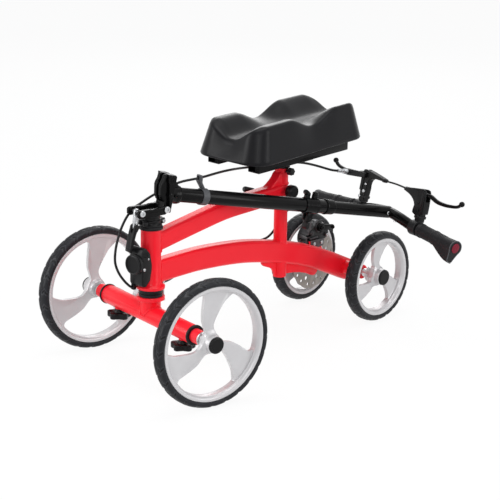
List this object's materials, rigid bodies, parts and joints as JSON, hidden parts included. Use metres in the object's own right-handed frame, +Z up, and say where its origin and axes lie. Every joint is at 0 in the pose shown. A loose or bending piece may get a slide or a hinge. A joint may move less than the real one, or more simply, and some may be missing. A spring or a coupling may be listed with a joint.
{
  "type": "knee walker",
  "caption": "Steerable knee walker with a folding column, brake levers, contoured knee pad and spoked wheels.",
  "frame": {"origin": "middle of the footprint of the stored pose, on the floor", "axes": "+Z up, -Y the way the rider faces, +X the rider's left"},
  "size_m": [0.5982, 0.8494, 0.474],
  "materials": {
    "red_paint": "gloss",
    "black_paint": "gloss",
    "black_plastic": "satin",
    "grey_plastic": "satin",
    "silver_paint": "satin",
    "tyre_rubber": "matte",
    "grip_rubber": "matte",
    "bright_steel": "satin",
    "disc_steel": "satin",
    "caliper_metal": "satin",
    "pad_skin": "satin",
    "cable_skin": "gloss"
  },
  "bodies": {
    "frame": {"main_frame": "red_paint", "lower_headset_cup": "black_plastic", "upper_headset_cup": "black_plastic", "brake_splitter_box": "black_plastic", "splitter_cover": "black_plastic", "rear_axle": "bright_steel", "brake_caliper": "caliper_metal", "rear_brake_cable": "cable_skin"},
    "steering": {"front_axle_crossmember": "red_paint", "left_axle_bushing": "black_plastic", "right_axle_bushing": "black_plastic", "headset_lock_collar": "black_plastic", "steering_yoke": "black_paint", "fold_pivot_bolt": "bright_steel", "latch_pin": "bright_steel"},
    "left_half_axle": {"left_inner_axle_tube": "red_paint", "left_wheel_spindle": "bright_steel"},
    "right_half_axle": {"right_inner_axle_tube": "red_paint", "right_wheel_spindle": "bright_steel"},
    "front_left_wheel": {"front_left_rim": "silver_paint", "front_left_tire": "tyre_rubber", "front_left_hub_cap": "black_plastic"},
    "front_right_wheel": {"front_right_rim": "silver_paint", "front_right_tire": "tyre_rubber", "front_right_hub_cap": "black_plastic"},
    "rear_left_wheel": {"rear_left_rim": "silver_paint", "rear_left_tire": "tyre_rubber", "rear_left_hub_cap": "black_plastic"},
    "rear_right_wheel": {"rear_right_rim": "silver_paint", "rear_right_tire": "tyre_rubber", "rear_right_hub_cap": "black_plastic", "brake_disc": "disc_steel"},
    "left_axle_screw": {"left_axle_knob": "black_plastic"},
    "right_axle_screw": {"right_axle_knob": "black_plastic"},
    "latch_swing_link": {"latch_link": "bright_steel"},
    "latch_cam": {"latch_lever": "black_plastic"},
    "column": {"fold_block": "black_paint", "column_tube": "black_paint", "column_collar": "black_plastic", "cable_clip": "grey_plastic", "column_clamp": "black_plastic", "main_brake_cable": "cable_skin"},
    "column_lock": {"column_lock_lever": "black_plastic"},
    "upper_column": {"handlebar": "black_paint", "left_grip": "grip_rubber", "right_grip": "grip_rubber", "left_brake_bracket": "black_plastic", "right_brake_bracket": "black_plastic", "cable_adjuster": "bright_steel", "lever_link_cable": "cable_skin"},
    "left_lever": {"left_brake_lever": "black_paint"},
    "right_lever": {"right_brake_lever": "black_paint"},
    "caliper_arm": {"brake_caliper_arm": "black_paint"},
    "seat": {"seat_post": "bright_steel", "pad_carrier": "black_paint", "knee_pad": "pad_skin"},
    "height_pin": {"seat_height_pin": "black_plastic"},
    "clamp_knob": {"seat_clamp_knob": "black_plastic"},
    "clamp_lever": {"seat_clamp_lever": "bright_steel"}
  },
  "joints": [
    {"name": "steering", "type": "hinge", "parent": "frame", "child": "steering", "pos_m": [-0.05833, -0.25528, 0.2415], "axis": [0, 0, 1], "range_deg": [-12, 0], "deforming": ["main_brake_cable"]},
    {"name": "left_axle_slide", "type": "slide", "parent": "steering", "child": "left_half_axle", "axis": [0.9766, -0.2152, 0], "range_m": [-0.01, 0.015]},
    {"name": "right_axle_slide", "type": "slide", "parent": "steering", "child": "right_half_axle", "axis": [-0.9766, 0.2152, 0], "range_m": [-0.01, 0.015]},
    {"name": "front_left_roll", "type": "hinge", "parent": "left_half_axle", "child": "front_left_wheel", "pos_m": [0.14284, -0.29962, 0.127], "axis": [0.9766, -0.2152, 0], "continuous": true},
    {"name": "front_right_roll", "type": "hinge", "parent": "right_half_axle", "child": "front_right_wheel", "pos_m": [-0.25951, -0.21094, 0.127], "axis": [0.9766, -0.2152, 0], "continuous": true},
    {"name": "rear_left_roll", "type": "hinge", "parent": "frame", "child": "rear_left_wheel", "pos_m": [0.04367, 0.32872, 0.096], "axis": [1, 0, 0], "continuous": true},
    {"name": "rear_right_roll", "type": "hinge", "parent": "frame", "child": "rear_right_wheel", "pos_m": [-0.16033, 0.32872, 0.096], "axis": [1, 0, 0], "continuous": true},
    {"name": "left_axle_knob_turn", "type": "hinge", "parent": "steering", "child": "left_axle_screw", "pos_m": [0.05202, -0.2796, 0.1], "axis": [0, 0, 1], "continuous": true},
    {"name": "right_axle_knob_turn", "type": "hinge", "parent": "steering", "child": "right_axle_screw", "pos_m": [-0.16869, -0.23096, 0.1], "axis": [0, 0, 1], "continuous": true},
    {"name": "latch_link_swing", "type": "hinge", "parent": "steering", "child": "latch_swing_link", "pos_m": [-0.06565, -0.28848, 0.341], "axis": [-0.9766, 0.2152, 0], "range_deg": [0, 172]},
    {"name": "latch_cam_swing", "type": "hinge", "parent": "latch_swing_link", "child": "latch_cam", "pos_m": [-0.0663, -0.29141, 0.309], "axis": [0.9766, -0.2152, 0], "range_deg": [-110, 0]},
    {"name": "column_fold", "type": "hinge", "parent": "steering", "child": "column", "pos_m": [-0.05338, -0.23282, 0.341], "axis": [0.9766, -0.2152, 0], "range_deg": [0, 11], "deforming": ["main_brake_cable"]},
    {"name": "column_lock_swing", "type": "hinge", "parent": "column", "child": "column_lock", "pos_m": [0.02381, 0.1174, 0.26303], "axis": [-0.9766, 0.2152, 0], "range_deg": [0, 80]},
    {"name": "handlebar_slide", "type": "slide", "parent": "column", "child": "upper_column", "axis": [0.2101, 0.9534, -0.2164], "range_m": [0, 0.12], "deforming": ["main_brake_cable"]},
    {"name": "left_brake_squeeze", "type": "hinge", "parent": "upper_column", "child": "left_lever", "pos_m": [0.16804, 0.32347, 0.2986], "axis": [0.2101, 0.9534, -0.2164], "range_deg": [0, 20], "stiffness_Nm_per_rad": 1.5, "springref_deg": -17.19},
    {"name": "right_brake_squeeze", "type": "hinge", "parent": "upper_column", "child": "right_lever", "pos_m": [-0.02043, 0.36501, 0.2986], "axis": [-0.2101, -0.9534, 0.2164], "range_deg": [0, 20], "stiffness_Nm_per_rad": 1.5, "springref_deg": -17.19},
    {"name": "caliper_arm_swing", "type": "hinge", "parent": "frame", "child": "caliper_arm", "pos_m": [-0.11603, 0.32422, 0.1715], "axis": [1, 0, 0], "range_deg": [0, 25]},
    {"name": "seat_lift", "type": "slide", "parent": "frame", "child": "seat", "axis": [0, 0, 1], "range_m": [0, 0.12]},
    {"name": "seat_pin_pull", "type": "slide", "parent": "frame", "child": "height_pin", "axis": [1, 0, 0], "range_m": [0, 0.008], "stiffness_N_per_m": 300, "springref_m": -0.01},
    {"name": "seat_clamp_turn", "type": "hinge", "parent": "frame", "child": "clamp_knob", "pos_m": [-0.05833, 0.12972, 0.347], "axis": [1, 0, 0], "continuous": true},
    {"name": "seat_lever_turn", "type": "hinge", "parent": "frame", "child": "clamp_lever", "pos_m": [-0.05833, 0.12972, 0.2875], "axis": [1, 0, 0], "range_deg": [0, 60]}
  ],
  "couplings": [
    {"joint": "caliper_arm_swing", "follows": "right_brake_squeeze", "ratio": 1.2}
  ]
}
